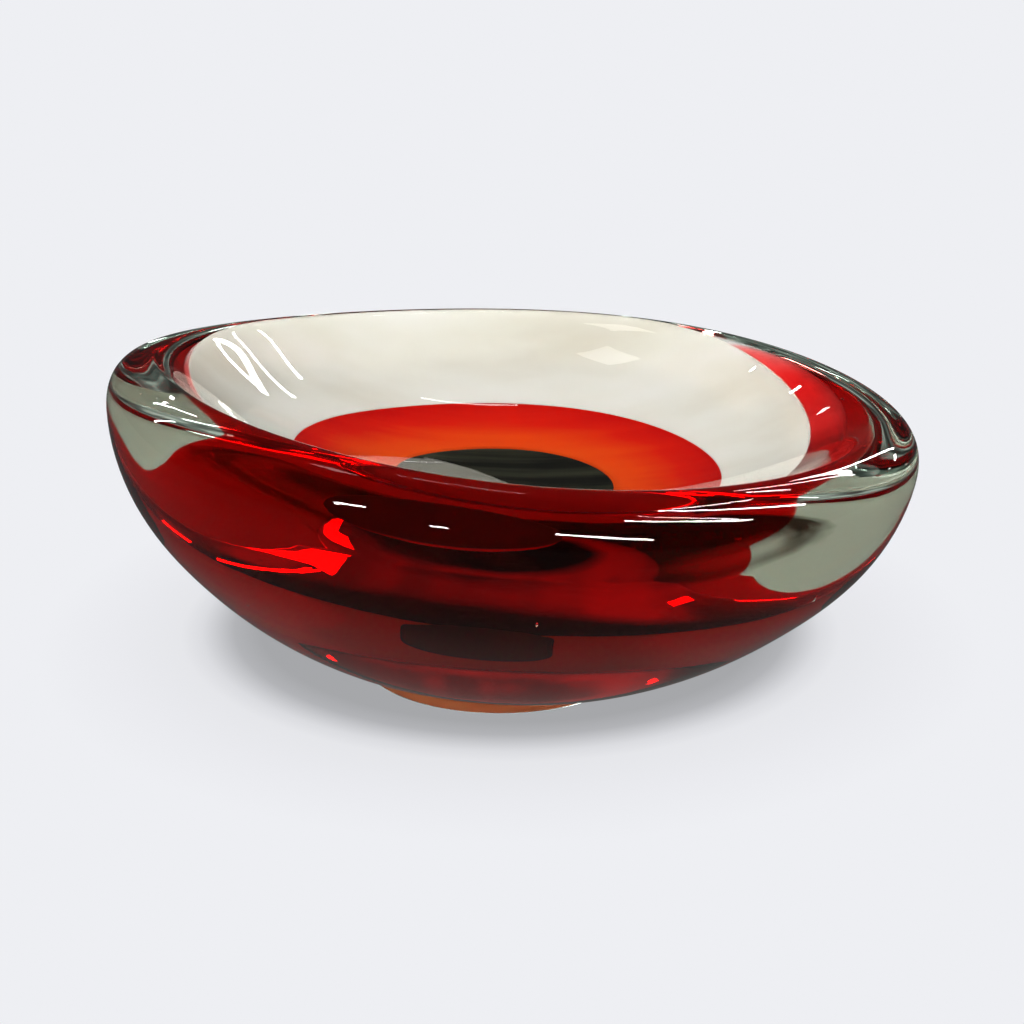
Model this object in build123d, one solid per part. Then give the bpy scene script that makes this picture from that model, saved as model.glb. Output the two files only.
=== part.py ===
"""Heavy cased-glass bowl: five fused glass layers, one STEP file for each.

Millimetres, +Z up. The origin is the centre of the ground foot on the table plane; the bowl's front faces -Y.
The layers are turned about one axis. That axis then leans, so the rim is higher on the left (-X), while the
foot stays level.
"""
from build123d import *
import os

# ---- driving dimensions ----
EQUATOR_R = 120.0        # widest radius of the clear casing
EQUATOR_Z = 75.0         # height of the widest line
CREST_R = 107.0          # radius of the highest line of the rim
CREST_Z = 88.5           # height of the rim's crest
WELL_Z = 55.5            # bottom of the well
FLANK_R = 37.5           # where the flank starts above the foot
FLANK_Z = 2.0
FOOT_R = 43.0            # radius of the level ground foot
FOOT_BEVEL = 0.7         # fine bevel round the ground foot
LEAN = 4.2               # degrees that the rim leans up towards the left
LEAN_BACK = -1.15        # degrees that the rim leans up towards the front
AXIS_AT = (-3.3, 2.2)    # where the turning axis meets the table plane

LINING = 2.0             # thickness of the white lining and the iris, measured upright
IRIS_R = 65.0            # outside radius of the orange iris
PUPIL_R = 33.4           # outside radius of the black pupil
PUPIL_T = 0.9            # thickness of the pupil's disc
DROP_R = 15.5            # the pupil's drop, which hangs through the iris
DROP_AT = (-3.0, -17.0)  # the drop sags towards the front
DROP_Z = 52.6            # underside of the drop
WHITE_R = 95.5           # outside radius of the white lining
WHITE_AT = (-3.4, 16.0)  # the lining's round edge sits off the turning axis
RUBY_R = 101.5           # radius of the ruby layer's top edge
RUBY_TOP = 86.2          # height of that edge, just under the rim's crest
RUBY_Z = 45.5            # underside of the ruby layer
RUBY_AT = (1.5, -6.0)    # the ruby layer sits off the turning axis too


def outline(*edges):
    """A closed face in the XZ plane from edges that follow one another."""
    return make_face(Curve() + list(edges))


def curve(*points):
    """A Bezier curve through (radius, height) control points."""
    return Bezier(*[(r, 0, z) for r, z in points])


def line(start, end):
    return Line((start[0], 0, start[1]), (end[0], 0, end[1]))


def turned(*edges):
    """One full turn of an outline about the bowl's axis."""
    return revolve(outline(*edges), axis=Axis.Z, revolution_arc=360)


def well_curve(drop=0.0):
    """The well's wall from the crest to the axis, moved down by drop."""
    return curve(
        (CREST_R, CREST_Z - drop),
        (CREST_R - 10, CREST_Z - drop),
        (83.5, WELL_Z - drop),
        (0, WELL_Z - drop),
    )


def above_well(drop=0.0):
    """Everything above the well's wall, moved down by drop."""
    top = CREST_Z + 20
    return turned(
        well_curve(drop),
        line((0, WELL_Z - drop), (0, top)),
        line((0, top), (CREST_R, top)),
        line((CREST_R, top), (CREST_R, CREST_Z - drop)),
    )


def plug(radius, at=(0, 0)):
    """A tall upright cylinder that trims a layer to a round edge."""
    return Pos(at[0], at[1], 0) * Cylinder(radius, 300)


def well_layer(depth):
    """The skin of the well's wall down to a depth."""
    return turned(
        well_curve(),
        line((0, WELL_Z), (0, WELL_Z - depth)),
        well_curve(depth),
        line((CREST_R, CREST_Z - depth), (CREST_R, CREST_Z)),
    )


def placed(solid):
    """A turned layer in its leaning place."""
    return Pos(AXIS_AT[0], AXIS_AT[1], 0) * Rot(0, LEAN, 0) * Rot(LEAN_BACK, 0, 0) * solid


# ---- the whole bowl as one turned body: flank, shoulder, well ----
envelope = turned(
    line((0, FLANK_Z), (FLANK_R, FLANK_Z)),
    curve((FLANK_R, FLANK_Z), (71.5, 6.5), (116.5, 41), (EQUATOR_R, EQUATOR_Z)),
    curve((EQUATOR_R, EQUATOR_Z), (EQUATOR_R + 0.9, 83.4), (CREST_R + 9.6, CREST_Z), (CREST_R, CREST_Z)),
    well_curve(),
    line((0, WELL_Z), (0, FLANK_Z)),
)

# ---- the colours ----
drop = turned(
    line((0, DROP_Z), (DROP_R - 0.7, DROP_Z)),
    line((DROP_R - 0.7, DROP_Z), (DROP_R, DROP_Z + 0.7)),
    line((DROP_R, DROP_Z + 0.7), (DROP_R, WELL_Z + 10)),
    line((DROP_R, WELL_Z + 10), (0, WELL_Z + 10)),
    line((0, WELL_Z + 10), (0, DROP_Z)),
)
drop = Pos(DROP_AT[0], DROP_AT[1], 0) * drop - above_well()
black_pupil = (well_layer(PUPIL_T) & plug(PUPIL_R)) + drop

ruby_blank = turned(
    curve((0, RUBY_Z), (48, RUBY_Z), (70, 50), (96, 71)),
    curve((96, 71), (103, 77), (RUBY_R + 4.5, 84), (RUBY_R, RUBY_TOP)),
    line((RUBY_R, RUBY_TOP), (0, RUBY_TOP)),
    line((0, RUBY_TOP), (0, RUBY_Z)),
)
ruby_blank = Pos(RUBY_AT[0], RUBY_AT[1], 0) * ruby_blank

layers = {
    "black_pupil": black_pupil,
    "orange_iris": (well_layer(LINING) & plug(IRIS_R)) - black_pupil,
    "white_lining": (well_layer(LINING) & plug(WHITE_R, WHITE_AT)) - plug(IRIS_R),
    "ruby_layer": ruby_blank - above_well(LINING) - black_pupil,
}
layers = {name: placed(solid) for name, solid in layers.items()}

# ---- clear casing: the bowl on its level foot, without its colours ----
foot = Pos(0, 0, 5) * Cylinder(FOOT_R, 10)
foot = chamfer(foot.edges().group_by(Axis.Z)[0], FOOT_BEVEL)
above_table = Pos(0, 0, 200) * Box(600, 600, 400)
clear_casing = (placed(envelope) + foot) & above_table
for colour in layers.values():
    clear_casing = clear_casing - colour
layers["clear_casing"] = clear_casing

os.makedirs("parts", exist_ok=True)
for name, solid in layers.items():
    export_step(solid, f"parts/{name}.step")
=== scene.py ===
import math
import random

import bmesh
import bpy
from mathutils import Matrix, Vector


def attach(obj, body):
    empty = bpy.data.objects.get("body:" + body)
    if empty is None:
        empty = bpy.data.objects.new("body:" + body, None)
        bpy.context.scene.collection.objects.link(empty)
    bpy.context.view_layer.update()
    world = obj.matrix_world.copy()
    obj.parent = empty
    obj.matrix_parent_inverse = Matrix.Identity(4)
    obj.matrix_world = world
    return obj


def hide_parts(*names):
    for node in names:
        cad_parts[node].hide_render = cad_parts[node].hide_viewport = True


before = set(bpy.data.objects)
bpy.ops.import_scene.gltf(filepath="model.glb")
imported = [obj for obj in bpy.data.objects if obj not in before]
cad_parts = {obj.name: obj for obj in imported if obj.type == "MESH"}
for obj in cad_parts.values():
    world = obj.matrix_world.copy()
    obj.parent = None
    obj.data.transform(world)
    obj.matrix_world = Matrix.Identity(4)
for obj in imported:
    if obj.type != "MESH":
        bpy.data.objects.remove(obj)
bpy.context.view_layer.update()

MM = 0.001
TURN = 256                       # steps round the bowl

# ---- the bowl's driving dimensions, millimetres, in the frame of its leaning axis ----
EQUATOR = (120.0, 75.0)
CREST = (107.0, 88.5)
WELL_Z = 55.5
FLANK = (37.5, 2.0)
FOOT_R = 43.0
LEAN = math.radians(4.2)         # rim up towards the left
LEAN_BACK = math.radians(-1.15)  # rim down at the back
AXIS = (-3.3, 2.2)
BELLY = 7.0                      # how far the near side's belly hangs
BELLY_FROM = 30                  # height where the belly starts to hang
DIP = 3.0                        # how much flatter the well's near-left floor is
DIP_TOWARD = math.radians(-128)
LINING = 2.0
IRIS_R = 65.0
PUPIL_R = 33.4
PUPIL_T = 0.9                    # thickness of the pupil's disc
DROP_R = 15.5                    # the pupil's drop through the orange glass
DROP_AT = (-3.0, -17.0)
DROP_DEEP = 1.0                  # how far it hangs under the orange glass
WHITE_R = 95.5
WHITE_AT = (-3.4, 16.0)
RUBY_Z = 45.5
RUBY_R = 101.5
RUBY_AT = (1.5, -6.0)
RUBY_SAG = -6.0                  # the ruby's thick bottom sags to the left
RUBY_SHY = 0.13                  # how much of its reach the ruby lacks at the back
RUBY_BEAD = 5.0                  # the ruby's edge is thicker on the far side
POKE = 0.15                      # how far the drop's edge already stands out of the orange glass
BUBBLES = 16                     # seed bubbles in the clear flank
SKIN = 0.35                      # clear glass left over the colours, so no two surfaces coincide

# ---- glass and camera ----
GLASS_IOR = 1.5
LENS = 64.0                      # millimetres, on a 36 mm sensor
PITCH = math.radians(18.6)       # how far the camera looks down
AIM = Vector((0.0035, 0, 0.0474))
AWAY = 0.5535                    # metres from the camera to its aim


# ------------------------------------------------------------------ shape helpers
def bezier(p0, p1, p2, p3, steps=24):
    """Points (radius, height) along a cubic curve."""
    out = []
    for i in range(steps + 1):
        t = i / steps
        u = 1 - t
        w = (u * u * u, 3 * u * u * t, 3 * u * t * t, t * t * t)
        out.append(tuple(sum(k * p[a] for k, p in zip(w, (p0, p1, p2, p3))) for a in (0, 1)))
    return out


def smooth(t):
    t = min(max(t, 0.0), 1.0)
    return t * t * (3 - 2 * t)


def chain(*runs):
    out = list(runs[0])
    for run in runs[1:]:
        out += run[1:] if math.dist(out[-1], run[0]) < 1e-6 else run
    return out


def well(drop=0.0):
    """The well's wall from the crest to the axis."""
    return bezier(
        (CREST[0], CREST[1] - drop),
        (CREST[0] - 10, CREST[1] - drop),
        (83.5, WELL_Z - drop),
        (0, WELL_Z - drop),
        60,
    )


def height_at(run, radius):
    """Height of a falling-radius run at one radius."""
    if radius >= run[0][0]:
        return run[0][1]
    for a, b in zip(run[:-1], run[1:]):
        if b[0] <= radius <= a[0]:
            t = (a[0] - radius) / max(a[0] - b[0], 1e-9)
            return a[1] + (b[1] - a[1]) * t
    return run[-1][1]


def between(run, low, high):
    """The stretch of a falling-radius run between two radii."""
    inner = [p for p in run if low < p[0] < high]
    return [(high, height_at(run, high))] + inner + [(low, height_at(run, low))]


def put(x, y, z):
    """A point of the turned shape, with its hand-made unevenness, in its leaning place in metres."""
    a = math.atan2(y, x)
    w = min(max(z / CREST[1], 0.0), 1.0)
    swell = 1 + w * (-2.1 * math.cos(2 * (a - 0.7)) + 1.5 * math.cos(3 * a)) / EQUATOR[0]
    x, y = x * swell, y * swell
    r = math.hypot(x, y)
    z += w * w * smooth(r / 60) * (2.9 * math.cos(2 * (a + 2.5)) - 0.7 * math.cos(3 * (a + 4.0)))
    inside = smooth((w - 0.45) / 0.2)
    side = max(0.0, math.cos(a - DIP_TOWARD)) ** 1.5
    z -= inside * DIP * side * smooth((r - 10) / 60) * (1 - smooth((r - 75) / 26))
    c, s = math.cos(LEAN_BACK), math.sin(LEAN_BACK)
    y, z = c * y - s * z, s * y + c * z
    c, s = math.cos(LEAN), math.sin(LEAN)
    return ((c * x + s * z + AXIS[0]) * MM, (y + AXIS[1]) * MM, (c * z - s * x) * MM)


def skin_rings(name, rings):
    """A closed mesh over rings of points; a ring of one point closes an end."""
    verts, index = [], []
    for ring in rings:
        index.append(range(len(verts), len(verts) + len(ring)))
        verts += ring
    faces = []
    pairs = list(zip(index[:-1], index[1:]))
    if len(rings[0]) > 1 and len(rings[-1]) > 1:
        pairs.append((index[-1], index[0]))
    for a, b in pairs:
        if len(a) == 1 and len(b) == 1:
            continue
        for k in range(TURN):
            n = (k + 1) % TURN
            if len(a) == 1:
                faces.append((a[0], b[n], b[k]))
            elif len(b) == 1:
                faces.append((a[k], a[n], b[0]))
            else:
                faces.append((a[k], a[n], b[n], b[k]))
    mesh = bpy.data.meshes.new(name)
    mesh.from_pydata(verts, [], faces)
    bm = bmesh.new()
    bm.from_mesh(mesh)
    bmesh.ops.recalc_face_normals(bm, faces=bm.faces)
    bm.to_mesh(mesh)
    bm.free()
    mesh.polygons.foreach_set("use_smooth", [True] * len(mesh.polygons))
    piece = bpy.data.objects.new(name, mesh)
    bpy.context.scene.collection.objects.link(piece)
    return piece


def bubbles(piece, count):
    """Tiny seed bubbles of air in the thick clear flank."""
    pick = random.Random(11)
    bm = bmesh.new()
    bm.from_mesh(piece.data)
    for _ in range(count):
        a, r, z = pick.uniform(0, 2 * math.pi), pick.uniform(78, 96), pick.uniform(42, 58)
        spot = Matrix.Translation(put(r * math.cos(a), r * math.sin(a), z))
        size = pick.uniform(0.25, 0.6) * MM
        made = bmesh.ops.create_icosphere(bm, subdivisions=2, radius=size, matrix=spot)
        faces = {f for v in made["verts"] for f in v.link_faces}
        bmesh.ops.reverse_faces(bm, faces=list(faces))
        for f in faces:
            f.smooth = True
    bm.to_mesh(piece.data)
    bm.free()


def angles():
    return [2 * math.pi * k / TURN for k in range(TURN)]


def ring(radius, height, at=(0, 0)):
    if radius < 1e-6:
        return [put(at[0], at[1], height)]
    return [put(at[0] + radius * math.cos(a), at[1] + radius * math.sin(a), height) for a in angles()]


def hull_ring(radius, height):
    """A ring of the outer hull, whose belly hangs lower on the near side."""
    grows = smooth((height - BELLY_FROM) / (EQUATOR[1] - BELLY_FROM))
    fades = max(height - EQUATOR[1], 0) / (CREST[1] - EQUATOR[1])
    hang = grows - fades
    return polar_ring(lambda a: (radius, height - BELLY * hang * smooth((-math.sin(a) - 0.2) / 0.6)))


def polar_ring(edge):
    """A ring whose radius and height follow the angle."""
    out = []
    for a in angles():
        r, z = edge(a)
        out.append(put(r * math.cos(a), r * math.sin(a), z))
    return out


def turned(name, run, at=(0, 0)):
    return skin_rings(name, [ring(r, z, at) for r, z in run])


# ------------------------------------------------------------------ material helpers
def new_material(name):
    material = bpy.data.materials.new(name)
    material.use_nodes = True
    tree = material.node_tree
    tree.nodes.clear()
    return material, tree, tree.nodes.new("ShaderNodeOutputMaterial")


def node(tree, kind, inputs=None, **settings):
    n = tree.nodes.new("ShaderNode" + kind)
    for key, value in settings.items():
        setattr(n, key, value)
    for key, value in (inputs or {}).items():
        if isinstance(value, bpy.types.NodeSocket):
            tree.links.new(value, n.inputs[key])
        else:
            n.inputs[key].default_value = value
    return n


def ramp(tree, source, *stops):
    n = node(tree, "ValToRGB", {0: source})
    elements = n.color_ramp.elements
    while len(elements) < len(stops):
        elements.new(0.5)
    for e, (at, colour) in zip(elements, stops):
        e.position = at
        e.color = (*colour, 1)
    return n.outputs[0]


# ------------------------------------------------------------------ the layers
flank = bezier(FLANK, (71.5, 6.5), (116.5, 41), EQUATOR, 40)
shoulder = bezier(EQUATOR, (EQUATOR[0] + 0.9, EQUATOR[1] + 8.4), (CREST[0] + 9.6, CREST[1]), CREST, 40)


def level_ring(radius, height):
    return [(radius * math.cos(a) * MM, radius * math.sin(a) * MM, height * MM) for a in angles()]


def blend(a, b, t):
    return [tuple(u + (v - u) * t for u, v in zip(p, q)) for p, q in zip(a, b)]


def flank_over(x, y):
    """Height of the leaning flank above a point of the table, good enough near the foot."""
    run = flank[::-1]
    r = math.hypot(x - AXIS[0], y - AXIS[1])
    return height_at(run, r) - math.tan(LEAN) * (x - AXIS[0]) + math.tan(LEAN_BACK) * (y - AXIS[1])


upper = [p for p in flank if p[0] > 58]
first = hull_ring(*upper[0])
neck = []
for a in angles():
    x, y = (FOOT_R + 0.6) * math.cos(a), (FOOT_R + 0.6) * math.sin(a)
    neck.append((x * MM, y * MM, max(flank_over(x, y), 1.2) * MM))
foot_edge = level_ring(FOOT_R, 0.7)
base = [
    [(0.0, 0.0, 0.0)],
    level_ring(FOOT_R * 0.5, 0),
    level_ring(FOOT_R - 2, 0),
    level_ring(FOOT_R - 0.7, 0),
    level_ring(FOOT_R - 0.15, 0.2),
    foot_edge,
    blend(foot_edge, neck, 0.5),
    neck,
]
for t in (0.2, 0.4, 0.6, 0.8):
    band = []
    for p, q in zip(neck, first):
        x, y = p[0] + (q[0] - p[0]) * t, p[1] + (q[1] - p[1]) * t
        true = flank_over(x / MM, y / MM) * MM
        straight = p[2] + (q[2] - p[2]) * t
        band.append((x, y, max(true, straight * 0.5 + true * 0.5)))
    base.append(band)
hull = [hull_ring(r, z) for r, z in chain(upper, shoulder)]
casing = skin_rings("casing", base + hull + [ring(r, z) for r, z in well()[1:]])

bubbles(casing, BUBBLES)


def white_edge(angle):
    """Radius of the lining's off-centre edge at this angle."""
    ox, oy = WHITE_AT
    b = ox * math.cos(angle) + oy * math.sin(angle)
    return min(b + math.sqrt(b * b + WHITE_R**2 - ox * ox - oy * oy), CREST[0] + 1)


def lining_rings():
    face, back = well(SKIN), well(LINING)
    steps = 40
    out = []
    for i in range(steps + 1):
        t = i / steps
        out.append(polar_ring(lambda a: (r := IRIS_R + (white_edge(a) - IRIS_R) * t, height_at(face, r))))
    for t in (0.25, 0.5, 0.75):
        bulge = 0.5 * math.sin(math.pi * t)
        out.append(
            polar_ring(
                lambda a: (
                    (r := white_edge(a)) + bulge,
                    height_at(face, r) * (1 - t) + height_at(back, r) * t,
                )
            )
        )
    for i in range(steps + 1):
        t = 1 - i / steps
        out.append(polar_ring(lambda a: (r := IRIS_R + (white_edge(a) - IRIS_R) * t, height_at(back, r))))
    return out


lining = skin_rings("lining", lining_rings())
iris = turned(
    "iris",
    [(0, WELL_Z - PUPIL_T)]
    + between(well(PUPIL_T), 0, PUPIL_R)[::-1][1:]
    + between(well(SKIN), PUPIL_R, IRIS_R)[::-1]
    + between(well(LINING), 0, IRIS_R),
)


def pupil_rings():
    """A thin disc, with a drop under it that hangs through the orange glass."""
    disc = between(well(SKIN), 0, PUPIL_R)[::-1] + [(PUPIL_R, height_at(well(PUPIL_T), PUPIL_R))]
    rings = [ring(r, z) for r, z in disc]
    under = well(PUPIL_T)
    for t in (0.75, 0.5, 0.25, 0.0):
        r = DROP_R + (PUPIL_R - DROP_R) * t
        x, y = DROP_AT[0] * (1 - t), DROP_AT[1] * (1 - t)
        spots = [(x + r * math.cos(a), y + r * math.sin(a)) for a in angles()]
        rings.append([put(x, y, height_at(under, math.hypot(x, y))) for x, y in spots])
    below = well(LINING)
    for k in range(12):
        r = DROP_R * (1 - k / 12)
        spots = [(DROP_AT[0] + r * math.cos(a), DROP_AT[1] + r * math.sin(a)) for a in angles()]
        bulge = POKE + DROP_DEEP * (1 - (r / DROP_R) ** 2)
        rings.append([put(x, y, height_at(below, math.hypot(x, y)) - bulge) for x, y in spots])
    rings.append(ring(0, height_at(below, math.hypot(*DROP_AT)) - POKE - DROP_DEEP, DROP_AT))
    return rings


pupil = skin_rings("pupil", pupil_rings())

# the ruby layer wraps the colours and the underside of the well
ruby_out = chain(
    bezier((0, RUBY_Z), (39, RUBY_Z), (53, 47.5), (63, 55.5), 20),
    bezier((63, 55.5), (76, 65), (89, 66), (98, 76), 20),
    bezier((98, 76), (103, 80), (RUBY_R + 4.5, 85), (RUBY_R, 87.6), 12),
)


def ruby_roof(x, y):
    """Height of the ruby's inner side: under the lining, and just under the surface beyond it."""
    r = math.hypot(x, y)
    bare = smooth((r - white_edge(math.atan2(y, x))) / 3)
    return height_at(well(), r) - 0.6 * bare - (LINING + 0.25) * (1 - bare)


def ruby_ring(radius, height=None):
    """A ring of the ruby, drawn in at the back; without a height it lies along its inner side."""
    points = []
    share = radius / RUBY_R
    low_down = 1 - smooth((radius - 50) / 35)
    for a in angles():
        r = radius * (1 - RUBY_SHY * share * smooth((math.sin(a) - 0.7) / 0.3))
        if height is not None:
            r += RUBY_BEAD * smooth((radius - 80) / 20) * smooth((math.sin(a) - 0.1) / 0.4)
        x = RUBY_AT[0] * share + r * math.cos(a)
        y = RUBY_AT[1] * share + r * math.sin(a)
        if height is None:
            z = ruby_roof(x, y)
        else:
            x += RUBY_SAG * low_down * min(1, radius / 20)
            z = min(height, ruby_roof(x, y) - 0.3)
        points.append(put(x, y, z))
    return points


ruby_bowl = [[put(0, 0, RUBY_Z)]] + [ruby_ring(r, z) for r, z in ruby_out[1:]]
ruby_inside = [ruby_ring(RUBY_R * (1 - k / 60)) for k in range(60)] + [[put(0, 0, WELL_Z - LINING - 0.25)]]
ruby = skin_rings("ruby", ruby_bowl + ruby_inside)

# ------------------------------------------------------------------ materials
clear, tree, out = new_material("clear_glass")
waves = node(tree, "TexNoise", {"Scale": 18.0, "Detail": 1.0})
bump = node(tree, "Bump", {"Strength": 0.004, "Distance": 0.002, "Height": waves.outputs[0]})
shader = node(
    tree,
    "BsdfPrincipled",
    {
        "Base Color": (1, 1, 1, 1),
        "Roughness": 0.0,
        "IOR": GLASS_IOR,
        "Transmission Weight": 1.0,
        "Normal": bump.outputs[0],
    },
)
body_tint = node(tree, "VolumeAbsorption", {"Color": (0.78, 0.9, 0.82, 1), "Density": 5.0})
tree.links.new(shader.outputs[0], out.inputs[0])
tree.links.new(body_tint.outputs[0], out.inputs[1])
casing.data.materials.append(clear)

ground, tree, out = new_material("ground_glass")
grain = node(tree, "TexNoise", {"Scale": 900.0, "Detail": 4.0})
rub = node(tree, "Bump", {"Strength": 0.3, "Distance": 0.0003, "Height": grain.outputs[0]})
# the foot's ground face is painted orange-brown: painted light, standing in for the orange light that comes
# down through the iris
matt = node(tree, "BsdfDiffuse", {"Color": (0.5, 0.16, 0.06, 1), "Normal": rub.outputs[0]})
tree.links.new(matt.outputs[0], out.inputs[0])
casing.data.materials.append(ground)
for face in casing.data.polygons:
    if face.center.z < 0.0001:
        face.material_index = 1

red, tree, out = new_material("ruby_glass")
shader = node(tree, "BsdfTransparent")
dye = node(tree, "VolumeAbsorption", {"Color": (0.984, 0.02, 0.015, 1), "Density": 500.0})
tree.links.new(shader.outputs[0], out.inputs[0])
tree.links.new(dye.outputs[0], out.inputs[1])
ruby.data.materials.append(red)


def enamel(name, through):
    """Opaque coloured glass inside the casing: it scatters light and lets some of it through."""
    material, tree, out = new_material(name)
    front = node(tree, "BsdfDiffuse")
    glow = node(tree, "BsdfTranslucent")
    both = node(tree, "MixShader", {0: through, 1: front.outputs[0], 2: glow.outputs[0]})
    tree.links.new(both.outputs[0], out.inputs[0])
    return material


def paint(tree, colour):
    for n in tree.nodes:
        if n.bl_idname in ("ShaderNodeBsdfDiffuse", "ShaderNodeBsdfTranslucent"):
            tree.links.new(colour, n.inputs["Color"])


def streaks(tree, scale, stretch, detail=4.0):
    """Cloudy streaks that run across the bowl."""
    place = node(tree, "TexCoord")
    pulled = node(tree, "Mapping", {"Vector": place.outputs["Object"], "Scale": stretch})
    return node(tree, "TexNoise", {"Vector": pulled.outputs[0], "Scale": scale, "Detail": detail}).outputs[0]


def from_axis(tree):
    """Distance from the bowl's axis, in metres."""
    place = node(tree, "TexCoord")
    moved = node(
        tree,
        "Mapping",
        {"Vector": place.outputs["Object"], "Location": (0.0005, -0.001, 0), "Scale": (1, 1, 0)},
    )
    return node(tree, "VectorMath", {0: moved.outputs[0]}, operation="LENGTH").outputs["Value"]


white = enamel("white_glass", 0.35)
tree = white.node_tree
clouds = ramp(
    tree,
    streaks(tree, 14.0, (1, 2.2, 2.2)),
    (0.3, (0.72, 0.69, 0.60)),
    (0.5, (0.80, 0.785, 0.71)),
    (0.7, (0.85, 0.84, 0.79)),
)
paint(tree, clouds)
lining.data.materials.append(white)

# painted shade under the white glass and the pupil: their undersides are painted dark brown out to a wavy
# edge a little inside the lining's rim, standing in for the shade there; it is what the near wall shows as a
# dark lens
shaded_underside = enamel("white_glass_painted_shade", 0.15)
tree = shaded_underside.node_tree
shade_reach = node(
    tree,
    "Math",
    {0: streaks(tree, 70.0, (1, 1, 3)), 1: 0.03, 2: from_axis(tree)},
    operation="MULTIPLY_ADD",
)
edge = node(tree, "MapRange", {"Value": shade_reach.outputs[0], "From Min": 0.102, "From Max": 0.107})
paint(tree, ramp(tree, edge.outputs[0], (0.0, (0.085, 0.045, 0.028)), (1.0, (0.80, 0.78, 0.70))))
lining.data.materials.append(shaded_underside)
# the lining's downward faces get the painted shade
for face in lining.data.polygons:
    if face.normal.z < -0.2:
        face.material_index = 1

orange = enamel("orange_glass", 0.3)
tree = orange.node_tree
wander = node(
    tree,
    "Math",
    {0: streaks(tree, 10.0, (1, 12, 6)), 1: 0.016, 2: from_axis(tree)},
    operation="MULTIPLY_ADD",
)
paint(
    tree,
    ramp(
        tree,
        node(tree, "MapRange", {"Value": wander.outputs[0], "From Min": 0.035, "From Max": 0.075}).outputs[0],
        (0.0, (0.70, 0.085, 0.006)),
        (0.45, (0.66, 0.055, 0.005)),
        (0.75, (0.58, 0.012, 0.004)),
        (1.0, (0.50, 0.005, 0.003)),
    ),
)
iris.data.materials.append(orange)

black = enamel("black_glass", 0.0)
tree = black.node_tree
grain = streaks(tree, 12.0, (1, 10, 4))
paint(tree, ramp(tree, grain, (0.4, (0.006, 0.006, 0.004)), (0.7, (0.03, 0.03, 0.018))))
pupil.data.materials.append(black)
pupil.data.materials.append(shaded_underside)
# the pupil's downward faces get the same painted shade
for face in pupil.data.polygons:
    if face.normal.z < -0.2:
        face.material_index = 1

for piece in (casing, ruby, lining, iris, pupil):
    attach(piece, "root")
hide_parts("clear_casing")
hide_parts("ruby_layer")
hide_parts("white_lining")
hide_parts("orange_iris")
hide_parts("black_pupil")

# ------------------------------------------------------------------ floor, surroundings, lamps, camera
# The shadow is painted on the floor, and is right from the front only. The camera, reflections and light
# that comes through the glass each see surroundings of their own.
scene = bpy.context.scene
scene.view_settings.view_transform = "Standard"

mesh = bpy.data.meshes.new("floor")
side = 6.0
corners = [(-side, -side, 0), (side, -side, 0), (side, side, 0), (-side, side, 0)]
mesh.from_pydata(corners, [], [(0, 1, 2, 3)])
floor = bpy.data.objects.new("floor", mesh)
floor.location.z = -0.0002
scene.collection.objects.link(floor)
pale, tree, out = new_material("pale_floor")
place = node(tree, "TexCoord")
spread = node(
    tree,
    "Mapping",
    {"Vector": place.outputs["Object"], "Location": (-0.02, -0.228, 0), "Scale": (6.58, 6.51, 0)},
)
reach = node(tree, "VectorMath", {0: spread.outputs[0]}, operation="LENGTH")
shade = ramp(
    tree,
    reach.outputs["Value"],
    (0.54, (0.38, 0.385, 0.40)),
    (0.594, (0.445, 0.45, 0.47)),
    (0.625, (0.565, 0.57, 0.595)),
    (0.6625, (0.71, 0.715, 0.745)),
    (0.706, (0.79, 0.795, 0.825)),
    (0.85, (0.825, 0.83, 0.865)),
    (1.0, (0.855, 0.863, 0.896)),
)
seen = node(tree, "Emission", {"Color": shade, "Strength": 1.0})
mottle = node(tree, "TexNoise", {"Vector": place.outputs["Object"], "Scale": 16.0, "Detail": 3.0})
stone = ramp(tree, mottle.outputs[0], (0.4, (0.36, 0.36, 0.33)), (0.6, (0.62, 0.62, 0.60)))
unseen = node(tree, "BsdfDiffuse", {"Color": stone})
path = node(tree, "LightPath")
mirrored = ramp(
    tree,
    node(tree, "VectorMath", {0: place.outputs["Object"]}, operation="LENGTH").outputs["Value"],
    (0.05, (0.12, 0.115, 0.11)),
    (0.15, (0.07, 0.07, 0.07)),
    (0.5, (0.05, 0.05, 0.05)),
)
dark = node(tree, "Emission", {"Color": mirrored, "Strength": 1.0})
mirror = path.outputs["Is Reflection Ray"]
other = node(tree, "MixShader", {0: mirror, 1: unseen.outputs[0], 2: dark.outputs[0]})
direct = path.outputs["Is Camera Ray"]
both = node(tree, "MixShader", {0: direct, 1: other.outputs[0], 2: seen.outputs[0]})
tree.links.new(both.outputs[0], out.inputs[0])
floor.data.materials.append(pale)

world = bpy.data.worlds.new("room")
scene.world = world
world.use_nodes = True
tree = world.node_tree
tree.nodes.clear()
out = tree.nodes.new("ShaderNodeOutputWorld")
place = node(tree, "TexCoord")
blotch = node(tree, "TexNoise", {"Vector": place.outputs["Generated"], "Scale": 4.0, "Detail": 3.0})
walls = ramp(
    tree,
    blotch.outputs[0],
    (0.38, (0.03, 0.034, 0.032)),
    (0.5, (0.16, 0.17, 0.16)),
    (0.62, (0.60, 0.61, 0.57)),
)
axes = node(tree, "SeparateXYZ", {0: place.outputs["Generated"]})
sideways = node(tree, "Math", {0: axes.outputs["X"]}, operation="ABSOLUTE")
middle = node(tree, "MapRange", {"Value": sideways.outputs[0], "From Min": 0.54, "From Max": 0.46})
behind = node(tree, "MapRange", {"Value": axes.outputs["Y"], "From Min": 0.0, "From Max": 0.3})
low_down = node(tree, "MapRange", {"Value": axes.outputs["Z"], "From Min": 0.37, "From Max": 0.345})
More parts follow.
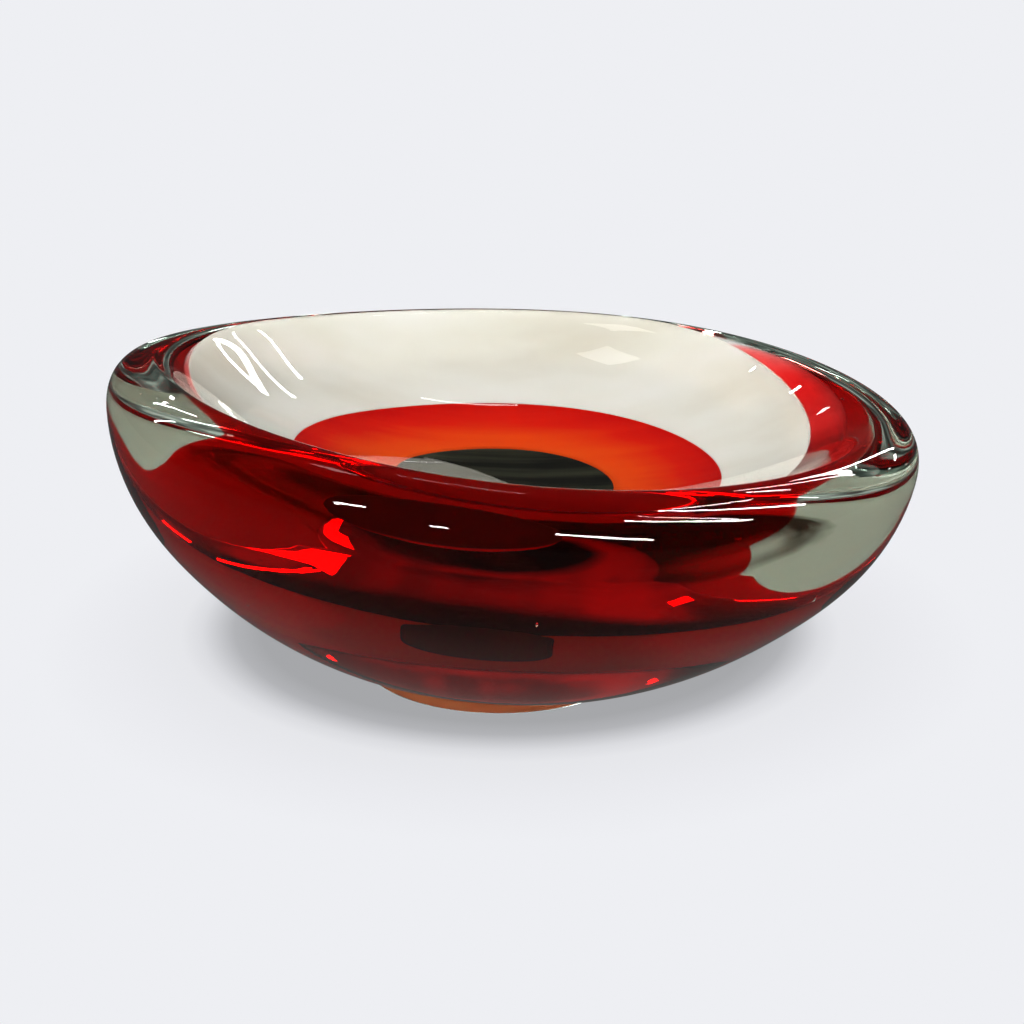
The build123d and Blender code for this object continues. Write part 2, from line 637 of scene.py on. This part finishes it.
door = node(tree, "Math", {0: middle.outputs[0], 1: behind.outputs[0]}, operation="MULTIPLY")
door = node(tree, "Math", {0: door.outputs[0], 1: low_down.outputs[0]}, operation="MULTIPLY")
shut = node(tree, "Mix", {0: door.outputs[0], 6: walls, 7: (0.004, 0.004, 0.003, 1)}, data_type="RGBA")
room = node(tree, "Background", {"Color": shut.outputs[2]})
backdrop = node(tree, "Background", {"Color": (0.855, 0.863, 0.896, 1)})
path = node(tree, "LightPath")
gloom = node(tree, "Background", {"Color": (0.02, 0.021, 0.022, 1)})
mirror = path.outputs["Is Reflection Ray"]
other = node(tree, "MixShader", {0: mirror, 1: room.outputs[0], 2: gloom.outputs[0]})
direct = path.outputs["Is Camera Ray"]
both = node(tree, "MixShader", {0: direct, 1: other.outputs[0], 2: backdrop.outputs[0]})
tree.links.new(both.outputs[0], out.inputs[0])


def lamp(name, at, size, power, to=(0, 0, 0.06), glossy=True, diffuse=True):
    light = bpy.data.lights.new(name, "AREA")
    light.shape = "RECTANGLE"
    light.size, light.size_y = size
    light.energy = power
    obj = bpy.data.objects.new(name, light)
    obj.location = at
    obj.rotation_euler = (Vector(to) - Vector(at)).to_track_quat("-Z", "Y").to_euler()
    obj.visible_glossy = glossy
    obj.visible_diffuse = diffuse
    scene.collection.objects.link(obj)
    return obj


def toward(bearing, elevation, far):
    """A point that far from the bowl; bearing 0 is behind it and + is to the right."""
    b, e = math.radians(bearing), math.radians(elevation)
    return Vector((math.sin(b) * math.cos(e), math.cos(b) * math.cos(e), math.sin(e))) * far


def tube(name, start, end, glare=40.0, width=0.12, far=8.0):
    """A thin strip lamp between two directions (bearing, elevation), seen in the glass only."""
    a, b = toward(*start, far), toward(*end, far)
    along = (b - a).normalized()
    back = (a + b).normalized()
    back = (back - along * back.dot(along)).normalized()
    side = back.cross(along)
    length = (b - a).length
    piece = lamp(name, (a + b) / 2, (length, width), glare * math.pi * length * width, diffuse=False)
    turn = Matrix((along, side, back)).transposed()
    piece.rotation_euler = turn.to_euler()


lamp("soft_top", (-0.55, 0.1, 1.5), (1.6, 1.6), 69, glossy=False)
tube("tube_right_a", (115, 57), (105, 33))
tube("tube_right_b", (75, 60), (50, 47))
tube("tube_right_c", (35, 38), (24, 36), 40, 0.08)
tube("tube_right_d", (23, 21), (19, 23), 25, 0.08)
tube("tube_end_a", (29, 17), (20, 23), 30)
tube("window", (-52, 68), (-39, 70), 2.4, 0.9)
tube("spot", (-41, 49), (-40, 49), 60)
tube("tube_far", (12, 50), (-2, 50), 7, 0.08)
tube("tube_near_a", (163, 23), (139, 14), 60, 0.3)
tube("tube_near_b", (-135, 23), (-144, 28), 60, 0.3)
tube("tube_near_c", (131, 49), (104, 28), 60, 0.3)
tube("tube_near_d", (-168, 18), (-163, 17), 40, 0.3)
tube("tube_near_e", (85, 61), (80, 31), 60, 0.3)
tube("tube_near_f", (17, 29), (38, 29), 16, 0.1)
tube("tube_left_a", (-41, 28), (-28, 38), 50)
tube("tube_left_b", (-62, 19), (-58, 33), 50)
tube("tube_back_a", (33, 29), (17, 23), 14, 0.2)
tube("tube_back_b", (-17, 25), (-21, 28), 14)
tube("tube_back_c", (40, 16), (34, 17), 30)
tube("tube_back_d", (-36, 31), (-30, 31), 30)

camera = bpy.data.objects.new("camera", bpy.data.cameras.new("camera"))
scene.collection.objects.link(camera)
scene.camera = camera
camera.data.sensor_width = 36
camera.data.lens = LENS
camera.data.clip_start = 0.01
camera.location = AIM + Vector((0, -math.cos(PITCH), math.sin(PITCH))) * AWAY
camera.rotation_euler = (AIM - camera.location).to_track_quat("-Z", "Y").to_euler()

scene.cycles.max_bounces = 32
scene.cycles.transmission_bounces = 24
scene.cycles.transparent_max_bounces = 32
scene.cycles.glossy_bounces = 12
